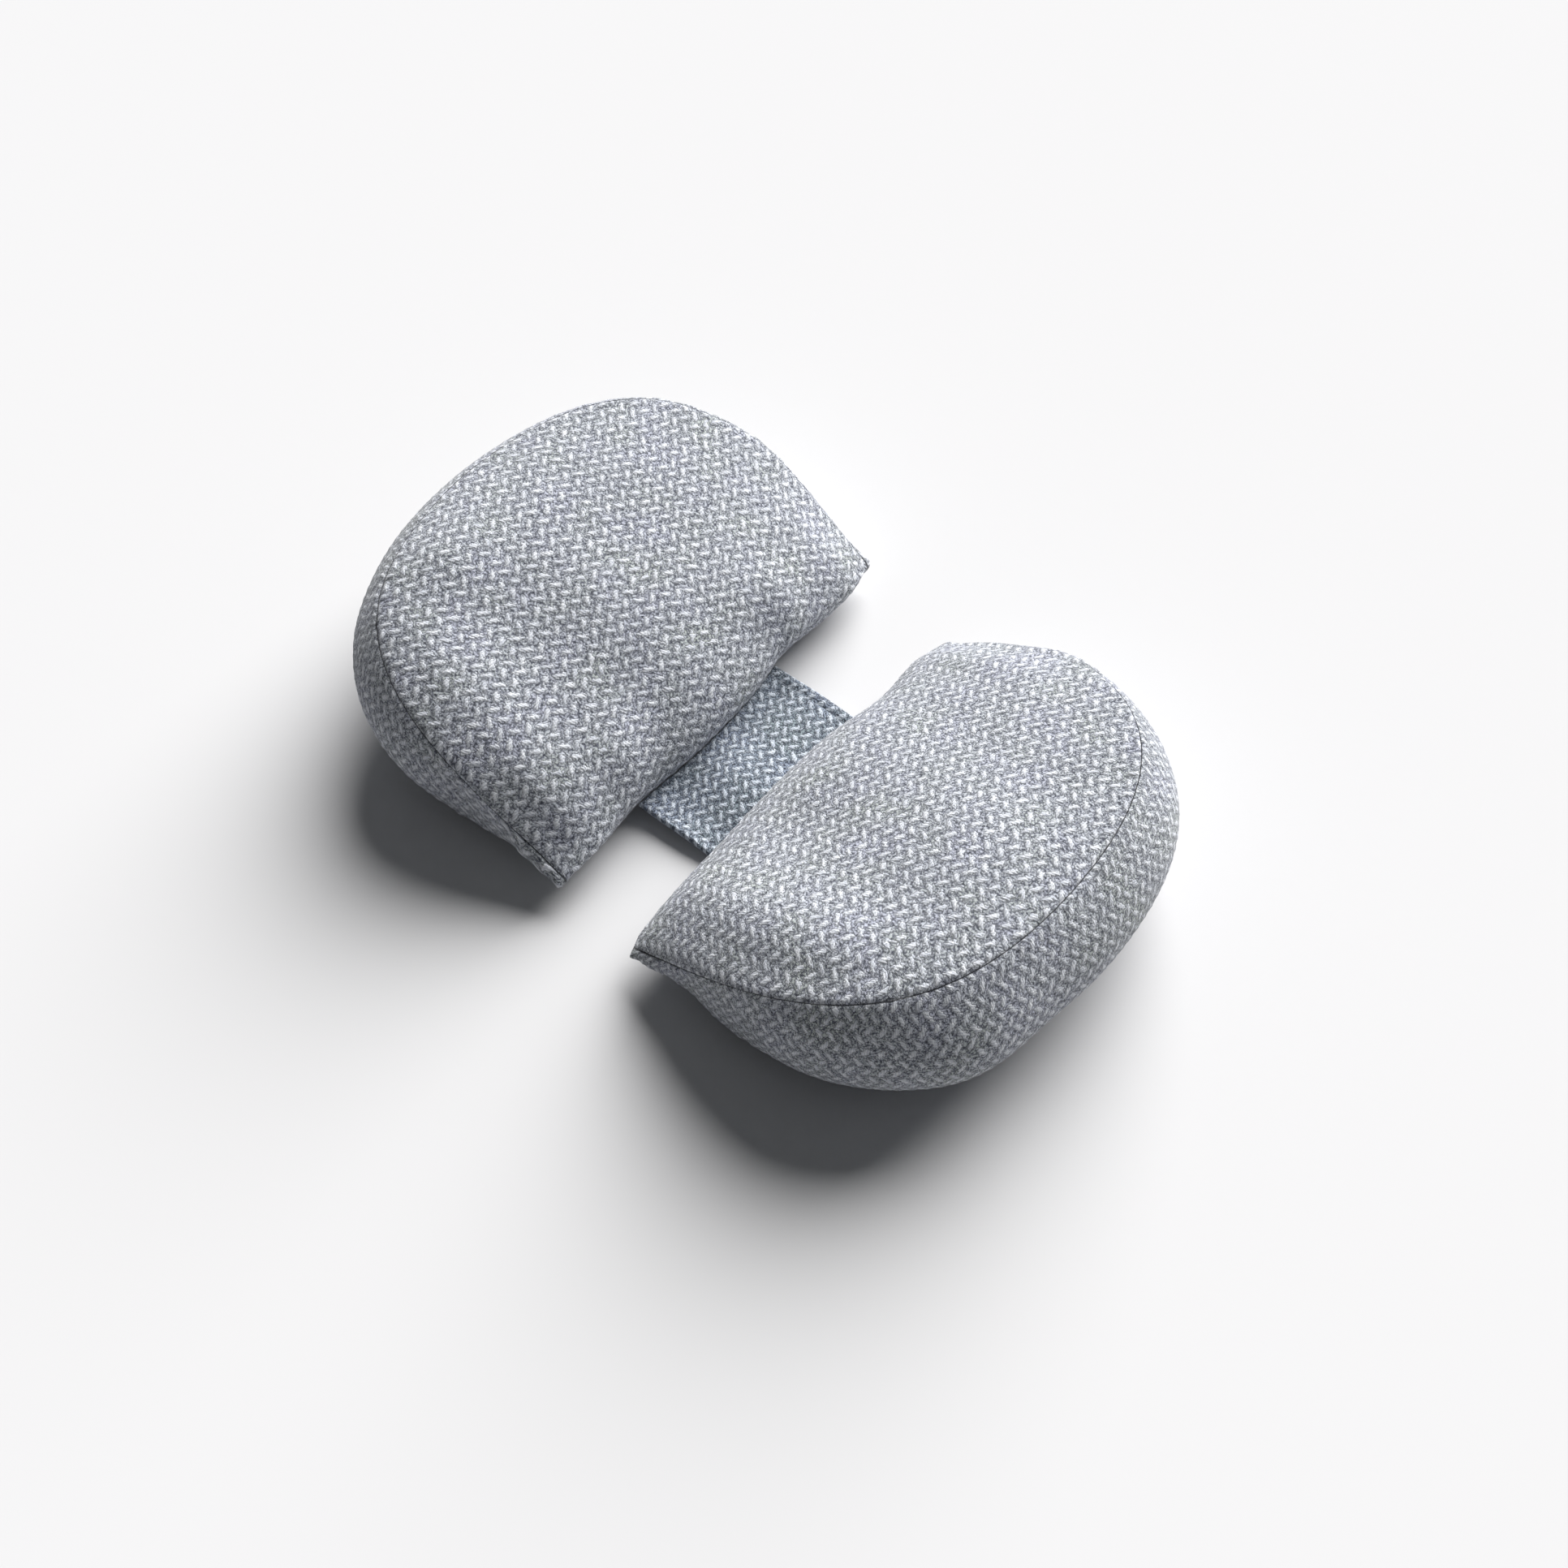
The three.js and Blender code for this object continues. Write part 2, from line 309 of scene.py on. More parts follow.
# Half of the seam's outline in plan, a cubic Bezier curve from a corner tip at 0 to the rim's middle at 1.
def halfOutline(share):
    shape = wedgeShape
    splay, halfEdge = math.radians(shape["sideSplay"]), shape["halfEdge"]
    reach = shape["sidePull"] * shape["depth"]
    x = (0, reach * math.cos(splay), shape["depth"], shape["depth"])
    y = (halfEdge, halfEdge + reach * math.sin(splay), shape["rimPull"] * halfEdge, 0)
    rest = 1 - share
    weights = (rest ** 3, 3 * rest ** 2 * share, 3 * rest * share ** 2, share ** 3)
    return [sum(weight * part for weight, part in zip(weights, parts)) for parts in (x, y)]


outlineX, outlineY = halfOutline(np.linspace(0, 1, wedgeDetail["outlineSteps"] + 1))


# The rolled inner edge for a share of the way to a corner tip: its bow, its reach and its foremost height.
def noseLine(y):
    shape = wedgeShape
    tipShare = np.clip(np.abs(y) / shape["halfEdge"], 0, 1)
    bowPower, reachPower, equatorPower = shape["nosePowers"]
    bow = -shape["noseBow"] * (1 - tipShare ** bowPower)
    reach = shape["noseRoll"] * (1 - shape["noseTaper"] * tipShare ** reachPower)
    equator = mix(shape["noseHeight"] * shape["noseEquator"], shape["tipHeight"], tipShare ** equatorPower)
    return bow, reach, equator


# Plan of the panel: the four edge curves blended so that each is met exactly (a Coons patch).
def panelPlan(across, outward):
    shape = wedgeShape
    halfEdge = shape["halfEdge"]
    sideX, sideY = halfOutline(outward * shape["cornerShare"])
    cornerX, cornerY = halfOutline(shape["cornerShare"])
    rimX, rimY = halfOutline(1 - np.abs(across) * (1 - shape["cornerShare"]))
    x = mix(noseLine(across * halfEdge)[0], rimX, outward) + sideX - cornerX * outward
    y = mix(across * halfEdge, rimY * np.sign(across), outward) + across * sideY
    return x, y - across * mix(halfEdge, cornerY, outward)


# Height of the foremost line, and the fullness of the roll over a point, a quarter circle of the way in.
def rollFullness(x, y):
    bow, reach, equator = noseLine(y)
    return equator, quarterCircle((x - bow) / reach)


# Top: a ramp from the nose to the rim plus a crown 4t(1 - t), which falls to the seam's height at the sides.
def topHeight(x, y):
    shape = wedgeShape
    depthShare = np.clip(x / shape["depth"], 0, 1)
    halfWidth = np.interp(np.clip(x, 0, shape["depth"]), outlineX, outlineY)
    widthShare = np.clip(np.abs(y) / np.maximum(halfWidth, 1e-6), 0, 1)
    seam = mix(shape["tipHeight"], shape["rimHeight"], 1 - (1 - depthShare) ** shape["seamRise"])
    ridge = mix(shape["noseHeight"], shape["rimHeight"], depthShare ** shape["rampCurve"])
    ridge = ridge + shape["crown"] * 4 * depthShare * (1 - depthShare)
    equator, fullness = rollFullness(x, y)
    return mix(equator, mix(ridge, seam, widthShare ** shape["crownShoulder"]), fullness)


# Underside: the lower seam's height times the lift, and the lower quarter of the roll.
def underHeight(x, y, lift=0):
    shape = wedgeShape
    fall = np.exp(-np.clip(x / shape["depth"], 0, 1) / shape["underSeamFall"])
    equator, fullness = rollFullness(x, y)
    return mix(equator, mix(shape["underSeamHeight"], shape["tipHeight"], fall) * lift, fullness)


# Cloth coordinates of a panel: lengths of its lines, at constant y from the nose, at constant x from y = 0.
def panelCloth(x, y, heightOf):
    bow = noseLine(y)[0][..., None]
    lineX = bow + (x[..., None] - bow) * np.linspace(0, 1, wedgeDetail["outwardSamples"]) ** 2
    outwards = lengthAlong(lineX, heightOf(lineX, y[..., None] + 0 * lineX))[..., -1]
    lineY = y[..., None] * np.linspace(0, 1, wedgeDetail["sidewaysSamples"])
    sideways = lengthAlong(lineY, heightOf(x[..., None] + 0 * lineY, lineY))[..., -1]
    return outwards, sideways * np.sign(y)


# Sum of bells along a line: amount * exp(-((place - middle) / reach)^2).
def bumps(place, rows):
    return sum(amount * bell(place - middle, reach) for middle, reach, amount in rows)


# Sum of stretched, turned bells: height * exp(-(along / reachAlong)^2 - (aside / reachAside)^2).
def swellHeight(x, y, rows):
    total = 0 * x
    for middleX, middleY, reachAlong, reachAside, turn, height in rows:
        along, aside = inTurnedAxes(x - middleX, y - middleY, turn)
        total = total + height * bell(along, reachAlong) * bell(aside, reachAside)
    return total


# Both ways from the middle, 0 to 1 becomes -1 to 1.
def mirroredShares(half):
    return np.concatenate([-half[:0:-1], half])


# Where a panel's lines run: even lengths of cloth, with closer rows beside the seam.
def panelShares():
    crowd = wedgeDetail["seamCrowd"], wedgeDetail["seamCrowdReach"]
    even = np.linspace(0, 1, wedgeDetail["fineSteps"] + 1)
    x, y = panelPlan(0 * even, even)
    outward = crowdedShares(wedgeDetail["outwardSteps"], lengthAlong(x, topHeight(x, y)), *crowd)
    half = crowdedShares(wedgeDetail["acrossSteps"] // 2, even * wedgeShape["halfEdge"], *crowd)
    down = crowdedShares(wedgeDetail["gussetSteps"] // 2, even * wedgeShape["rimHeight"] / 2, *crowd)
    return mirroredShares(half), outward, (mirroredShares(down) + 1) / 2


# Two waves that drift against each other: the mean of sin(2 pi s / pitch + phase) and a longer, later one.
def seamWaves(place, pitch, phase, longer=1.37, later=2.1):
    slow = np.sin(2 * math.pi * place / (longer * pitch) + later * phase)
    return (np.sin(2 * math.pi * place / pitch + phase) + slow) / 2


# Points drawn again and again towards the mean of their neighbours, by exp(-(distance to a mark / reach)^2),
# which makes a corner round. Beyond span times the reach nothing moves.
def rounded(points, quads, marks, reach, rounds, span=2.6):
    away = np.linalg.norm(points[:, None] - marks, axis=2).min(1)
    near = quads[(away[quads] < span * reach).any(1)]
    ends = np.stack([near, np.roll(near, 1, axis=1)], -1).reshape(-1, 2)
    ends = ends[ends[:, 0] != ends[:, 1]]
    numbers, local = np.unique(ends, return_inverse=True)
    first, second = local.reshape(-1, 2).T
    both, others = np.concatenate([first, second]), np.concatenate([second, first])
    counts = np.bincount(both, minlength=len(numbers))[:, None]
    share = bell(away[numbers], reach)[:, None]
    moved = points[numbers]
    for turn in range(rounds):
        sums = [np.bincount(both, moved[others, axis], len(numbers)) for axis in range(3)]
        moved = moved + share * (np.stack(sums, 1) / counts - moved)
    result = points.copy()
    result[numbers] = moved
    return result, away


# The seam round the rim from tip to tip: its cells in a panel's grid, the length so far, the distance to the
# nearer tip, the share of the way round, and unit vectors that point outwards in plan.
def seamOf(panel):
    rows, columns = panel.shape[:2]
    row = np.concatenate([np.zeros(columns - 1, int), np.arange(rows), np.full(columns - 1, rows - 1)])
    column = np.concatenate([np.arange(columns), np.full(rows - 2, columns - 1), np.arange(columns)[::-1]])
    line = panel[row, column]
    place = lengthAlong(*line.T)
    heading = np.gradient(line[:, :2], axis=0)
    outside = np.stack([heading[:, 1], -heading[:, 0]], -1)
    outside /= np.linalg.norm(outside, axis=1, keepdims=True)
    away = np.minimum(place, place[-1] - place)
    return dict(cells=(row, column), place=place, tipAway=away, wayRound=place / place[-1], outside=outside)


# For each point of a panel the distance to its seam, and the nearest place along the seam.
def seamDistance(panel, seam):
    line = panel[seam["cells"]]
    numbers = np.arange(len(line))
    fine = np.linspace(0, len(line) - 1, 2 * len(line) - 1)
    marks = np.stack([np.interp(fine, numbers, values) for values in line.T], 1)
    away, nearest = nearestMark(panel.reshape(-1, 3), marks)
    along = np.interp(fine[nearest], numbers, seam["place"])
    return away.reshape(panel.shape[:2]), along.reshape(panel.shape[:2])


# A panel whose seam is pushed outwards and raised by amounts given along it. The cloth follows by
# exp(-(distance to the seam) / reach).
def seamMoved(panel, gap, along, seam, push, rise):
    outwards = [np.interp(along, seam["place"], push * seam["outside"][:, axis]) for axis in (0, 1)]
    moved = panel.copy()
    moved[..., :2] += np.stack(outwards, -1) * np.exp(-gap / wedgeDetail["tuckFade"])[..., None]
    moved[..., 2] += np.interp(along, seam["place"], rise) * np.exp(-gap / wedgeDetail["tipOpenReach"])
    return moved


# How far the top seam swells, how far the lower seam is pushed, which is drawn in near the tips, and how the
# two part at a tip, a quarter circle that dies away as exp(-away / fade).
def seamPushes(seam, forms):
    detail, tipAway = wedgeDetail, seam["tipAway"]
    swollen = bumps(seam["wayRound"], forms["rimSwells"]) * smoothStep(0, detail["rimStart"], tipAway)
    tuck = -detail["tuck"] * bell(tipAway - detail["tuckPlace"], detail["tuckReach"])
    tuck += bumps(seam["wayRound"], forms["underSwells"]) * smoothStep(0, detail["underStart"], tipAway)
    opening = np.exp(-tipAway / detail["tipOpenFade"]) * quarterCircle(tipAway / detail["tipOpenStart"])
    return swollen, tuck, opening


# The side panel between the seams: it swells by 4d(1 - d) of a bulge, d being the share of the way down,
# with a round lobe at each tip and waves near it.
def sidePanel(high, low, down, seam, forms, seed):
    shape, detail, tipAway = wedgeShape, wedgeDetail, seam["tipAway"]
    height = high[:, 2] - low[:, 2]
    swell = shape["gussetBulge"] * height * (height / shape["rimHeight"]) ** shape["gussetTaper"]
    lobe = detail["lobe"] * np.exp(-tipAway / detail["lobeReach"])
    swell += lobe * smoothStep(0, detail["lobeStart"], tipAway)
    swell += bumps(seam["wayRound"], forms["sideSwells"]) * smoothStep(0, detail["rimStart"], tipAway)
    creases = detail["creases"] * np.exp(-tipAway / detail["creaseReach"])
    creases *= smoothStep(0, detail["creaseStart"], tipAway)
    swell += creases * seamWaves(seam["place"], detail["creasePitch"], seed)
    side = high[None] + (low - high)[None] * down[:, None, None]
    side[..., :2] += seam["outside"] * (swell * 4 * (down * (1 - down))[:, None])[..., None]
    return side


# Cloth coordinates of the side panel: lengths along its middle row and down its columns. Where it is low,
# the cloth lies eased along it and leans over.
def sideCloth(side, seam, forms):
    full = smoothStep(*wedgeDetail["easeHeights"], side[0, :, 2] - side[-1, :, 2])
    ends = (seam["wayRound"] > 0.5).astype(int)
    ease = mix(np.take(forms["sideEase"], ends), 1, full)
    lean = mix(np.take(forms["sideLean"], ends), 0, full)
    steps = np.diff(lengthAlong(*side[len(side) // 2].T)) * (ease[1:] + ease[:-1]) / 2
    u = np.concatenate([[0], np.cumsum(steps)])
    v = lengthAlong(*side.transpose(2, 1, 0)).T
    return u - u[-1] / 2 + lean * (v - v[-1:] / 2), v


# Cloth coordinates of the top and the underside. One panel runs round the nose, so each takes half of what
# they differ by there, times exp(-(length from the nose) / reach).
def panelCloths(x, y):
    reach = wedgeDetail["joinReach"]
    topU, topV = panelCloth(x, y, topHeight)
    underU, underV = panelCloth(x, y, underHeight)
    half = (topV[:, :1] - underV[:, :1]) / 2
    return topU, topV - half * np.exp(-topU / reach), underU, underV + half * np.exp(-underU / reach)


# Numbers of the points of the top, the underside, which shares the nose, and the side panel, which shares
# the seams and comes to one point at each tip.
def wedgeNumbers(rows, columns, seam, sideRows):
    top = np.arange(rows * columns).reshape(rows, columns)
    under = top.copy()
    under[:, 1:] = top.size + np.arange(rows * (columns - 1)).reshape(rows, -1)
    side = np.empty((sideRows, len(seam["place"])), int)
    inner = side[1:-1, 1:-1]
    inner[:] = under.max() + 1 + np.arange(inner.size).reshape(inner.shape)
    side[0] = top[seam["cells"]]
    side[-1] = under[seam["cells"]]
    side[:, 0] = top[0, 0]
    side[:, -1] = top[-1, 0]
    return top, under, side


# What the stuffing adds along the normals: gathers beside the seams, and on the top swells and shoulders,
# s * exp(1 - s), s being the distance from the seam over their reach.
def stuffing(points, topCount, gap, along, wayRound, forms, seed):
    detail = wedgeDetail
    gathers = detail["pucker"] * seamWaves(along, detail["puckerPitch"], seed + 1)
    gathers *= np.exp(-gap / detail["puckerReach"]) * smoothStep(0, detail["puckerStart"], gap)
    swells = swellHeight(*points[:, :2].T, forms["topSwells"]) * smoothStep(*detail["swellStart"], gap)
    inShare = gap / detail["shoulderReach"]
    swells += bumps(wayRound, forms["shoulders"]) * inShare * np.exp(1 - inShare)
    return gathers + swells * (np.arange(len(points)) < topCount)


# The tips pushed to their places, their surroundings by exp(-(distance / reach)^2) of it, and rounded.
def shapeTips(points, quads, tips, pushes):
    detail = wedgeDetail
    for tip, push in zip(points[tips], pushes):
        near = bell(np.linalg.norm(points - tip, axis=1), detail["tipPushReach"])[:, None]
        points = points + near * (*push, 0)
    return rounded(points, quads, points[tips], detail["tipRound"], detail["tipRounds"])


# A stuffed wedge as one closed mesh: top, underside and the side panel between their seams.
def makeWedge(name):
    shape, detail, place, forms = wedgeShape, wedgeDetail, wedgePlaces[name], wedgeForms[name]
    seed = place["seed"]
    acrossShares, outwardShares, down = panelShares()
    across, outward = np.meshgrid(acrossShares, outwardShares, indexing="ij")
    x, y = panelPlan(across, outward)
    power = shape["flatSquareness"]
    edgeShare = (np.abs(across) ** power + outward ** power) ** (1 / power)
    lift = np.clip((edgeShare - shape["flatShare"]) / (1 - shape["flatShare"]), 0, 1) ** 2
    dip = bumps(y, forms["noseDips"]) * np.exp(-(x - noseLine(y)[0]) / detail["noseDipFade"])
    top = np.stack([x + dip, y, topHeight(x, y)], -1)
    under = np.stack([x + dip, y, underHeight(x, y, lift)], -1)

    seam = seamOf(top)
    swollen, tuck, opening = seamPushes(seam, forms)
    topGap, topPlace = seamDistance(top, seam)
    underGap, underPlace = seamDistance(under, seam)
    top = seamMoved(top, topGap, topPlace, seam, swollen, forms["tipOpen"][0] * opening)
    under = seamMoved(under, underGap, underPlace, seam, tuck, forms["tipOpen"][1] * opening)
    side = sidePanel(top[seam["cells"]], under[seam["cells"]], down, seam, forms, seed)
    points = np.concatenate([part.reshape(-1, 3) for part in (top, under[:, 1:], side[1:-1, 1:-1])])
    topIndex, underIndex, sideIndex = wedgeNumbers(*x.shape, seam, len(down))

    # three patches of cloth, with the distance to the seam and the place along it
    topU, topV, underU, underV = panelCloths(x, y)
    sideU, sideV = sideCloth(side, seam, forms)
    sideGap, sidePlace = np.minimum(sideV, sideV[-1:] - sideV), seam["place"] + 0 * sideV
    topMap = wandered(topU, topV, seed)
    underMap = wandered(-underU, underV, seed).swapaxes(0, 1)
    sideMap = wandered(sideU, sideV - sideV[-1:] / 2, seed + 1).swapaxes(0, 1)
    patches = (
        (sideIndex.T, sideMap, sideGap.T, 1),
        (underIndex.T, underMap, underGap.T, 0),
        (topIndex, topMap, topGap, 0),
    )
    quads, clothMap, seamMap = gridPatches(patches)
    pointCloth, pointGap, pointPlace = np.zeros((len(points), 2)), *np.zeros((2, len(points)))
    for (index, cloth, away, panelSide), along in zip(patches, (sidePlace.T, underPlace.T, topPlace)):
        pointCloth[index] = cloth
        pointGap[index] = away
        pointPlace[index] = along

    # stuffing first, then the knit and the groove of the seam, each along the normals
    wayRound = pointPlace / seam["place"][-1]
    stuffed = stuffing(points, topIndex.size, pointGap, pointPlace, wayRound, forms, seed)
    points += pointNormals(points, quads) * stuffed[:, None]
    points, tipGap = shapeTips(points, quads, topIndex[[0, -1], 0], forms["tipPush"])
    relief = knit["rise"] * floatHeight(*pointCloth.T) * smoothStep(*knit["seamClear"], pointGap)
    relief -= detail["grooveDepth"] * bell(pointGap, detail["grooveReach"])
    relief *= smoothStep(*detail["tipClear"], tipGap)
    points += pointNormals(points, quads) * relief[:, None]
    points[:, 2] = np.maximum(points[:, 2], 0)

    points = turned(points * place["size"], place["turn"]) + (place["x"], place["y"], 0)
    piece = makePiece(name + "_cover", points, quads, clothMap, seamMap)
    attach(piece, "root")
    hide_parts(name)
    return piece


# The doubled strap between the wedges: both long edges turned in and stitched.
strapShape = dict(
    x=3.58, y=-3.9,  # its middle
    width=107, thickness=3,
    arch=0.8,  # how far its middle stands off the floor, over the line between its ends
    halfGap=23,  # half of the gap between the wedges, over which it arches
    endLift=(7.5, 1.2),  # height above the floor of the left end and of the right
    endSag=(-1.5, 0),  # how much lower the middle of an end is
    sagReach=26,
    clearance=0.3,  # air under the wedges' rolls, where its ends are sewn on
    heldReach=12,  # from an end, how far it is held flat
    repeats=11,  # of the knit, across it
    stitchInset=5.8,  # from the folded edge to the row of stitches
    stitchClear=(0.4, 1.6),  # from the stitches, where the floats begin to rise and are full
    stitchDent=0.3, stitchDentReach=0.8,
    hemPuff=0.4,  # how much thicker the turned edge is
    hemStep=2.5,  # and over what width that begins
    valleyPlace=-17,  # x of a hollow across it, beside the left wedge
    valleyDepth=2.8, valleyReach=7,
    valleyEdge=(2, 14),  # from a long edge, where it begins and is full
    ridgePlace=-13,  # a soft ridge along it, from its middle line
    ridgeHeight=3, ridgeReach=17,
    troughPlace=-42,  # and a soft hollow
    troughDepth=1.2, troughReach=10,
    floorClear=3,  # height above the floor from which the hollows are full
    edgeCrowd=6, edgeCrowdReach=1.5,
    alongSteps=100, acrossSteps=150, fineSteps=2000,
    lengthShare=0.7,  # of its width, for the spacing of its rows only
    seed=5,
)


# The x at which a wedge's underside comes down to a height, for a y of the frame. Its roll is a quarter
# ellipse, so the way in is reach * (1 - sqrt(1 - (1 - height / foremost height)^2)).
def tuckX(name, y, height):
    place = wedgePlaces[name]
    turn = math.radians(place["turn"])
    along = (y - place["y"]) / (place["size"] * math.cos(turn))
    bow, reach, equator = noseLine(along)
    fullness = 1 - height / (place["size"] * equator)
    depth = reach * (1 - np.sqrt(1 - fullness ** 2))
    dip = bumps(along, wedgeForms[name]["noseDips"]) * np.exp(-depth / wedgeDetail["noseDipFade"])
    depth = bow + depth + dip
    return place["x"] + place["size"] * (depth * math.cos(turn) - along * math.sin(turn))


# The strap's grid: x, y from its middle line, the distances to a long edge and to an end, and the height of
# its underside, which arches by arch * cos^2 of the way from the middle. Last, its mean length in metres.
def strapPlan():
    shape, halfWidth = strapShape, strapShape["width"] / 2
    crowd = shape["edgeCrowd"], shape["edgeCrowdReach"]
    even = np.linspace(0, 1, shape["fineSteps"] + 1) * halfWidth
    ways = mirroredShares(crowdedShares(shape["acrossSteps"] // 2, even, *crowd)) * halfWidth
    shares = mirroredShares(crowdedShares(shape["alongSteps"] // 2, even * shape["lengthShare"], *crowd))
    y, share = np.meshgrid(ways, (shares + 1) / 2, indexing="ij")
    tucked = shape["thickness"] + shape["clearance"]
    ends = [lift - sag * bell(y, shape["sagReach"]) for lift, sag in zip(shape["endLift"], shape["endSag"])]
    left, right = (tuckX(name, y + shape["y"], tucked + end) for name, end in zip(wedgePlaces, ends))
    x = mix(left, right, share)
    arch = np.cos(math.pi / 2 * np.clip(np.abs(x - shape["x"]) / shape["halfGap"], 0, 1)) ** 2
    lift = mix(*ends, share) + shape["arch"] * arch
    length = float((right - left).mean()) * metre
    return x, y, halfWidth - np.abs(y), np.minimum(x - left, right - x), lift, length


# The strap as one closed mesh: two faces that meet at the edges, where its thickness falls to nothing as a
# quarter circle does.
def makeStrap():
    shape = strapShape
    half = shape["thickness"] / 2
    x, y, fromEdge, fromEnd, lift, length = strapPlan()
    fullness = quarterCircle(fromEdge / half) * quarterCircle(fromEnd / half)
    fromStitch = np.abs(fromEdge - shape["stitchInset"])
    free = smoothStep(0, shape["heldReach"], fromEnd)
    lift = lift + shape["ridgeHeight"] * free * bell(y - shape["ridgePlace"], shape["ridgeReach"])
    hemEnd = shape["stitchInset"]
    puff = shape["hemPuff"] * (1 - smoothStep(hemEnd - shape["hemStep"], hemEnd, fromEdge))
    dent = shape["stitchDent"] * bell(fromStitch, shape["stitchDentReach"])
    trough = shape["troughDepth"] * bell(y - shape["troughPlace"], shape["troughReach"])
    valley = shape["valleyDepth"] * bell(x - shape["valleyPlace"], shape["valleyReach"])
    trough = np.maximum(trough, valley * smoothStep(*shape["valleyEdge"], fromEdge))
    middle = lift + half - free * trough * smoothStep(0, shape["floorClear"], lift)
    scale = shape["repeats"] * knit["repeatAcross"] / shape["width"]  # whole repeats round both faces
    topCloth = wandered(x * scale, y * scale, shape["seed"])
    underCloth = wandered(x * scale, (shape["width"] - y) * scale, shape["seed"])
    relief = knit["rise"] * floatHeight(topCloth[..., 0], topCloth[..., 1])
    relief = relief * smoothStep(*shape["stitchClear"], fromStitch)
    top = np.stack([x, y + shape["y"], middle + fullness * (half + free * (puff - dent + relief))], -1)
    under = np.stack([x, y + shape["y"], np.maximum(middle - fullness * (half + free * puff / 2), 0)], -1)

    # the underside shares the edges with the top
    topIndex = np.arange(x.size).reshape(x.shape)
    underIndex = topIndex.copy()
    inner = underIndex[1:-1, 1:-1]
    inner[:] = topIndex.size + np.arange(inner.size).reshape(inner.shape)
    points = np.concatenate([top.reshape(-1, 3), under[1:-1, 1:-1].reshape(-1, 3)])
    piece = makePiece("strap_cover", points, *gridPatches((
        (topIndex, topCloth, fromStitch, 2),
        (underIndex.T, underCloth.swapaxes(0, 1), fromStitch.T, 2),
    )))
    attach(piece, "root")
    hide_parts("joining_strap")
    return piece


# A socket that takes part in arithmetic: each operator adds its Math node.
class Socket:
    def __init__(self, nodes, output):
        self.nodes = nodes
        self.output = output

    def maths(self, operation, *others):
        return self.nodes.add("ShaderNodeMath", dict(operation=operation), (self, *others))

    # held between 0 and 1
    def clipped(self):
        return self.maths("MAXIMUM", 0).maths("MINIMUM", 1)

    # a smooth step of the value from 0 at low to 1 at high
    def step(self, low, high):
        settings = dict(interpolation_type="SMOOTHSTEP")
        return self.nodes.add("ShaderNodeMapRange", settings, {0: self, 1: low, 2: high})

    def __add__(self, other):
        return self.maths("ADD", other)

    def __mul__(self, other):
        return self.maths("MULTIPLY", other)

    def __sub__(self, other):
        return self.maths("SUBTRACT", other)

    def __truediv__(self, other):
        return self.maths("DIVIDE", other)

    def __rsub__(self, other):
        return self.nodes.add("ShaderNodeMath", dict(operation="SUBTRACT"), (other, self))

    __radd__ = __add__
    __rmul__ = __mul__


# The nodes of one material. add makes a node, sets its settings, then gives its sockets values or links.
class NodeBoard:
    def __init__(self, name):
        self.material = bpy.data.materials.new(name)
        self.material.use_nodes = True
        self.tree = self.material.node_tree
        self.tree.nodes.clear()

    def add(self, kind, settings=None, sockets=(), output=0):
        node = self.tree.nodes.new(kind)
        for name, value in (settings or {}).items():
            setattr(node, name, value)
        for key, value in sockets.items() if isinstance(sockets, dict) else enumerate(sockets):
            if isinstance(value, Socket):
                self.tree.links.new(value.output, node.inputs[key])
            else:
                node.inputs[key].default_value = value
        return Socket(self, node.outputs[output]) if node.outputs else node

    def split(self, vector, count):
        return [self.add("ShaderNodeSeparateXYZ", None, (vector,), output) for output in range(count)]

    def map(self, name):
        return self.split(self.add("ShaderNodeUVMap", dict(uv_map=name)), 2)

    def blend(self, share, first, second):
        return self.add("ShaderNodeMix", dict(data_type="RGBA"), {0: share, 6: first, 7: second}, 2)

    def times(self, first, second):
        settings = dict(data_type="RGBA", blend_type="MULTIPLY")
        return self.add("ShaderNodeMix", settings, {0: 1.0, 6: first, 7: second}, 2)

    def vector(self, *parts):
        return self.add("ShaderNodeCombineXYZ", None, parts)

    def noise(self, place, scale, detail=2.0):
        return self.add("ShaderNodeTexNoise", None, {"Vector": place, "Scale": scale, "Detail": detail})

    def finished(self, sockets):
        shader = self.add("ShaderNodeBsdfPrincipled", None, sockets)
        self.add("ShaderNodeOutputMaterial", None, {"Surface": shader})
        return self.material


# The linear colour behind a display's hex code: ((part + 0.055) / 1.055)^2.4.
def hexColour(code):
    parts = [int(code[i:i + 2], 16) / 255 for i in (0, 2, 4)]
    return (*(((part + 0.055) / 1.055) ** 2.4 for part in parts), 1)


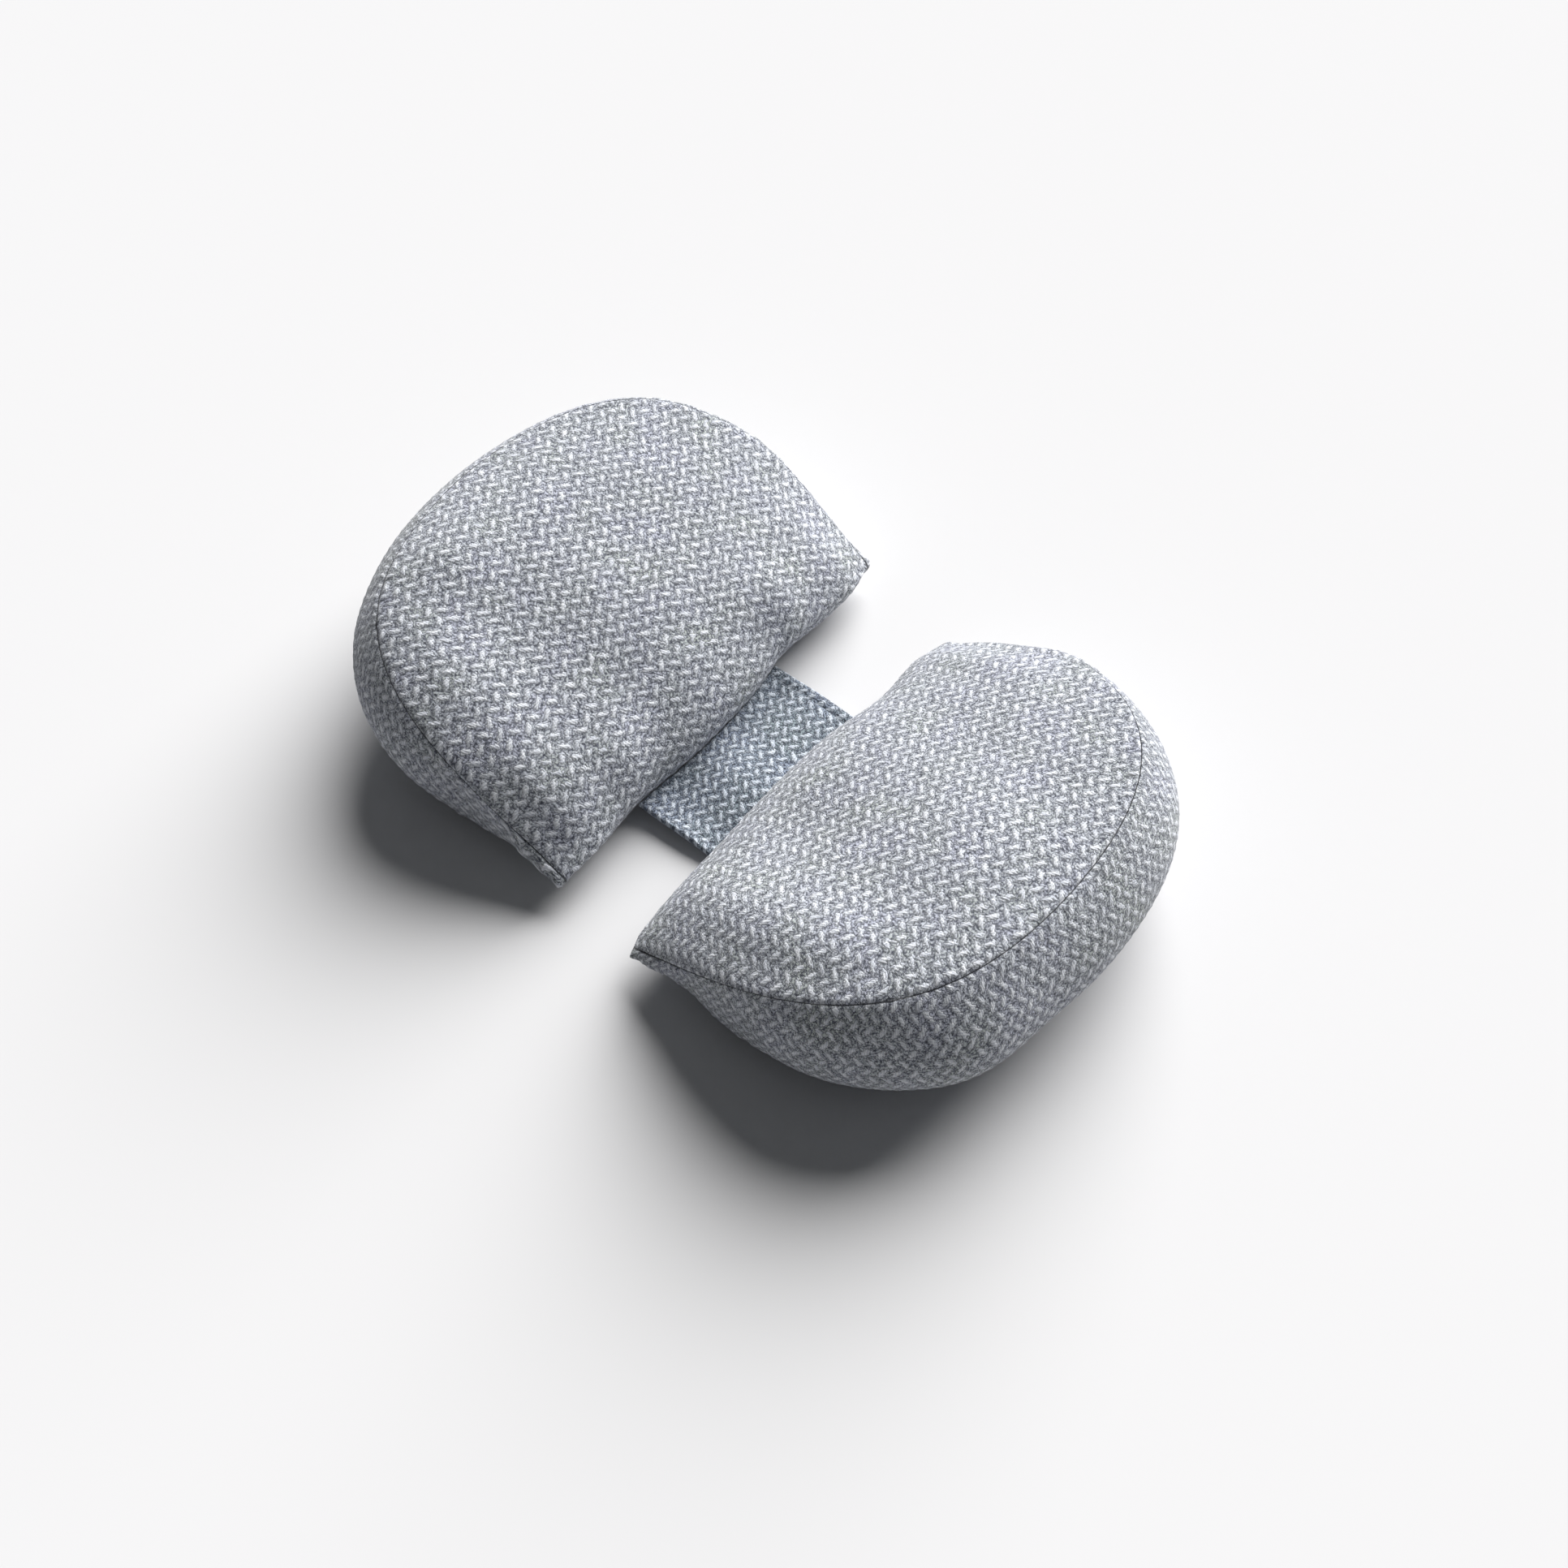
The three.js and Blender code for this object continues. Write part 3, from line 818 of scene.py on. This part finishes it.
# Colours, painted shade and fine relief of the knitted cloth, in millimetres.
knitFinish = dict(
    floatPale="f2f4f7", floatDim="b3b8c3",
    # gap is the dark of the pores and of the painted shade beside the floats
    ground="d7dbe9", groundDim="666977", gap="2b2f37",
    groundTint="d1d8d4",  # a faint warm cast that comes and goes over the cloth
    # painted shade in the crease of the seams, and on the strap its stitches' dark thread with painted shade
    # in their dent
    seamShadeAndThread="1d1f25",
    floatBump=0.5, twistBump=0.10, groundBump=0.05, fluffBump=0.2, lineBump=0.4,
    blunt=2.7,  # 2 makes a float an ellipse, more makes its ends blunter
    fray=0.95,  # how ragged a float's rim is
    rimStep=(-0.25, 0.15),  # across it, where the yarn ends
    floatShare=0.94,  # how far a float covers the ground
    stray=0.9,  # how far a float may lie from its place
    drawShift=0.01,  # so that the two kinds draw other numbers
    twistPitch=1.25,  # of the two plies in a float's yarn
    twistLean=52,  # degrees between the yarn and its twist
    glowTwist=0.45, glowChance=0.25, glowFluff=0.5, glowLeast=-0.1,  # what makes it pale
    groundPitch=0.9,  # of the fine stitches between the floats
    groundHeading=(0.8, 0.6),
    groundRows=0.2, groundFluff=0.8,  # what makes the ground pale
    fluffScale=0.72, fluffDetail=4.0, fluffContrast=4.5,  # the yarn's own unevenness
    cloudScale=0.035, cloudContrast=3, cloudMiddle=0.4,  # of the faint cast
    panelShift=7,  # of the noise from panel to panel
    paintedShadeStart=(-0.1, 0.15),  # from a float, where the painted shade beside it begins
    paintedShadeEnd=0.2, paintedShadeReach=0.5,  # where it begins to end, and over what width
    # how dark the painted shade beside a float is
    paintedShadeShare=0.66,
    poreScale=0.85, poreShift=31, poreStep=(0.5, 0.64),
    poreShare=0.8,  # how dark the pores between the stitches are
    # the painted shade in the crease of the seams: its half width, its fade and how dark it is
    seamWidth=0.2, seamFade=0.28, seamShadeShare=0.85,
    shader={"Roughness": 0.92, "Specular IOR Level": 0.2, "Sheen Weight": 0.25, "Sheen Roughness": 0.5},
)
strapFinish = dict(
    groundTint=(0.58, 0.645, 0.7, 1),  # its ground is darker and bluer, partly its own cloth and partly painted shade between the wedges
    floatTint=(0.86, 0.905, 0.94, 1),
    dashPitch=4.2, dashStep=(-0.75, -0.35),  # of the stitches, dashes of thread in their dent
    dashShare=0.6, dentShadeShare=0.4,  # how much darker a dash of thread is than the painted shade in the dent between two
    lineStep=(0.1, 0.4), lineShare=0.6,  # across the row of stitches
)


# One kind of float in the shader: how far along and across its yarn a point is, its rim's measure
# (|along / half length|^blunt + |across / half width|^blunt)^(1 / blunt), and a number from 0 to 1 for each
# float, which also lies a little off its place.
def floatSockets(nodes, u, v, lean, shift):
    cellU = u / knit["repeatAlong"] - shift
    cellV = v / knit["repeatAcross"] - shift
    roundU, roundV = cellU.maths("ROUND"), cellV.maths("ROUND")
    place = nodes.vector(roundU, roundV + knitFinish["drawShift"] * lean, 0.0)
    draws = nodes.add("ShaderNodeTexWhiteNoise", dict(noise_dimensions="2D"), {"Vector": place}, 1)
    strayU, strayV, chance = nodes.split(draws, 3)
    inU = (cellU - roundU) * knit["repeatAlong"] + (strayU - 0.5) * knitFinish["stray"]
    inV = (cellV - roundV) * knit["repeatAcross"] + (strayV - 0.5) * knitFinish["stray"]
    along, across = inTurnedAxes(inU, inV, lean)
    blunt = knitFinish["blunt"]
    lengthShare = (along.maths("ABSOLUTE") * (2 / knit["floatLength"])).maths("POWER", blunt)
    widthShare = (across.maths("ABSOLUTE") * (2 / knit["floatWidth"])).maths("POWER", blunt)
    return along, across, (lengthShare + widthShare).maths("POWER", 1 / blunt), chance


# Both kinds of float together: their height, 1 - (rim's measure)^2, how far a point lies inside one, their
# twisted plies, (1 + sine) / 2, their numbers, and the distance to the nearest rim.
def floatLayer(nodes, u, v, fluff):
    finish = knitFinish
    angle = math.radians(finish["twistLean"])
    body, inside, twist, chance, nearest = 0.0, 0.0, 0.0, 0.0, None
    for lean, shift in floatKinds:
        along, across, rim, number = floatSockets(nodes, u, v, lean, shift)
        rim = rim + (fluff - 0.5) * finish["fray"]
        away = (rim - 1) * (knit["floatWidth"] / 2)
        depth = (1 - rim).maths("MAXIMUM", 0)
        cover = 1 - away.step(*finish["rimStep"])
        phase = (along * math.cos(angle) + across * math.sin(angle)) * (2 * math.pi / finish["twistPitch"])
        body = depth * (2 - depth) + body
        inside = cover + inside
        twist = cover * (phase.maths("SINE") * 0.5 + 0.5) + twist
        chance = cover * number + chance
        nearest = away if nearest is None else nearest.maths("MINIMUM", away)
    return body, inside, twist, chance, nearest


# The knit: pale floats of twisted yarn over a fine grey ground, with painted shade beside each float and in
# the crease of the seams, or a row of stitches on the strap.
def knitMaterial(name, stitched):
    finish, nodes = knitFinish, NodeBoard(name)
    u, v = nodes.map("clothMap")
    seamGap, seamSide = nodes.map("seamMap")

    panel = seamSide * finish["panelShift"]
    place = nodes.vector(u, v, panel)
    fluff = nodes.noise(place, finish["fluffScale"], finish["fluffDetail"])
    fluff = ((fluff - 0.5) * finish["fluffContrast"] + 0.5).clipped()
    pores = nodes.noise(nodes.vector(u + finish["poreShift"], v, panel), finish["poreScale"])
    pores = pores.step(*finish["poreStep"])
    cloud = nodes.noise(place, finish["cloudScale"])
    cloud = ((cloud - 0.5) * finish["cloudContrast"] + finish["cloudMiddle"]).clipped()
    body, inside, twist, chance, nearest = floatLayer(nodes, u, v, fluff)

    # the ground: rows of fine stitches that lean both ways, and the yarn's own unevenness
    turn = 2 * math.pi / finish["groundPitch"]
    wide, narrow = finish["groundHeading"]
    rows = ((u * wide + v * narrow) * turn).maths("SINE") * ((u * narrow - v * wide) * turn).maths("SINE")
    # painted shade: a ring on the ground just outside each float's rim
    shade = nearest.step(*finish["paintedShadeStart"])
    shade = shade * (1 - nearest.step(finish["paintedShadeEnd"], finish["paintedShadeEnd"] + finish["paintedShadeReach"]))

    full = nodes.blend(cloud, hexColour(finish["ground"]), hexColour(finish["groundTint"]))
    fine = rows * finish["groundRows"] + fluff * finish["groundFluff"]
    ground = nodes.blend(fine, hexColour(finish["groundDim"]), full)
    # the pores and the painted shade beside the floats take the ground towards the gap colour
    dark = (shade * finish["paintedShadeShare"]).maths("MAXIMUM", pores * finish["poreShare"])
    ground = nodes.blend(dark, ground, hexColour(finish["gap"]))
    glow = twist * finish["glowTwist"] + chance * finish["glowChance"] + fluff * finish["glowFluff"]
    glow = (glow + finish["glowLeast"]).maths("MINIMUM", 1)
    pale = nodes.blend(glow, hexColour(finish["floatDim"]), hexColour(finish["floatPale"]))
    if stitched:
        # the strap's copy of the knit, darker and bluer: partly its own cloth, partly painted shade where it
        # lies low between the wedges
        ground = nodes.times(ground, strapFinish["groundTint"])
        pale = nodes.times(pale, strapFinish["floatTint"])
        # stitches: dashes of dark thread, with painted shade in the dent between them
        dash = (u * (2 * math.pi / strapFinish["dashPitch"])).maths("SINE").step(*strapFinish["dashStep"])
        dash = dash * strapFinish["dashShare"] + strapFinish["dentShadeShare"]
        line = (1 - seamGap.step(*strapFinish["lineStep"])) * dash * strapFinish["lineShare"]
        lineCover = line
    else:
        # painted shade in the crease of the seam
        line = 1 - seamGap.step(finish["seamWidth"], finish["seamWidth"] + finish["seamFade"])
        lineCover = line * finish["seamShadeShare"]
    colour = nodes.blend(inside * finish["floatShare"], ground, pale)
    # painted shade in the crease of the seams, or on the strap its row of stitches
    colour = nodes.blend(lineCover, colour, hexColour(finish["seamShadeAndThread"]))

    height = body * finish["floatBump"] + twist * finish["twistBump"]
    height = height + (1 - inside) * rows * finish["groundBump"] + fluff * finish["fluffBump"]
    height = height - line * finish["lineBump"]
    bump = nodes.add("ShaderNodeBump", None, {"Strength": 1.0, "Distance": metre, "Height": height})
    return nodes.finished({"Base Color": colour, "Normal": bump, **finish["shader"]})


# The camera looks from an azimuth and elevation at the pillow's middle, in the photograph's framing: the
# picture is 1932 pixels square, and the middle lands on the given pixel.
view = dict(
    middle=(3.58, -2.44, 29.1), azimuth=41.78, elevation=53.43, roll=-4.1, distance=968.5,
    picture=1932, focalPixels=2479, middlePixel=(932.7, 909.0), sensor=36, clipStart=0.05,
)
studio = dict(
    floorColour="dadadb", floorShader={"Roughness": 1.0, "Specular IOR Level": 0.1}, floorSize=60,
    worldColour=(0.93, 0.96, 1.0), worldStrength=0.09,
    keyFrom=(-0.75, 6.6, 4.5), keyWidth=56, keyStrength=7.0, keyColour=(1.0, 0.992, 0.985),
)


# right = (cos a, sin a, 0), back = (sin a cos e, -cos a cos e, sin e), up = back x right, then rolled.
def makeCamera():
    a, e, roll = (math.radians(view[name]) for name in ("azimuth", "elevation", "roll"))
    back = Vector((math.sin(a) * math.cos(e), -math.cos(a) * math.cos(e), math.sin(e)))
    right = Vector((math.cos(a), math.sin(a), 0))
    up = back.cross(right)
    side = right * math.cos(roll) + up * math.sin(roll)
    upright = up * math.cos(roll) - right * math.sin(roll)
    lens = bpy.data.cameras.new("camera")
    lens.sensor_width = view["sensor"]
    lens.lens = view["sensor"] * view["focalPixels"] / view["picture"]
    lens.shift_x = 0.5 - view["middlePixel"][0] / view["picture"]
    lens.shift_y = view["middlePixel"][1] / view["picture"] - 0.5
    lens.clip_start = view["clipStart"]
    camera = makeObject("camera", lens)
    turn = Matrix((side, upright, back)).transposed().to_4x4()
    place = (Vector(view["middle"]) + back * view["distance"]) * metre
    camera.matrix_world = Matrix.Translation(place) @ turn
    bpy.context.scene.camera = camera


# A wide paper floor, the faint light of its surroundings, and a softbox so far away that it lights the floor
# evenly, given by its direction and by its width as an angle.
def makeStudio():
    half = studio["floorSize"] / 2
    corners = [(-half, -half, 0), (half, -half, 0), (half, half, 0), (-half, half, 0)]
    mesh = bpy.data.meshes.new("floor")
    mesh.from_pydata(corners, [], [(0, 1, 2, 3)])
    paper = {"Base Color": hexColour(studio["floorColour"]), **studio["floorShader"]}
    mesh.materials.append(NodeBoard("floor_paper").finished(paper))
    floor = makeObject("floor", mesh)
    world = bpy.data.worlds.new("studio")
    world.use_nodes = True
    surround = world.node_tree.nodes["Background"]
    surround.inputs["Color"].default_value = (*studio["worldColour"], 1)
    surround.inputs["Strength"].default_value = studio["worldStrength"]
    bpy.context.scene.world = world
    light = bpy.data.lights.new("key", "SUN")
    light.angle = math.radians(studio["keyWidth"])
    light.energy = studio["keyStrength"]
    light.color = studio["keyColour"]
    lamp = makeObject("key", light)
    lamp.location = studio["keyFrom"]
    lamp.rotation_euler = (-lamp.location).to_track_quat("-Z", "Y").to_euler()
    bpy.context.scene.view_settings.view_transform = "Standard"


print("wedges")
wedges = [makeWedge(name) for name in wedgePlaces]
print("strap")
strap = makeStrap()
print("knit")
wedgeKnit, strapKnit = knitMaterial("wedge_cloth", False), knitMaterial("strap_cloth", True)
for wedge in wedges:
    wedge.data.materials.append(wedgeKnit)
strap.data.materials.append(strapKnit)
print("camera and lights")
makeCamera()
makeStudio()
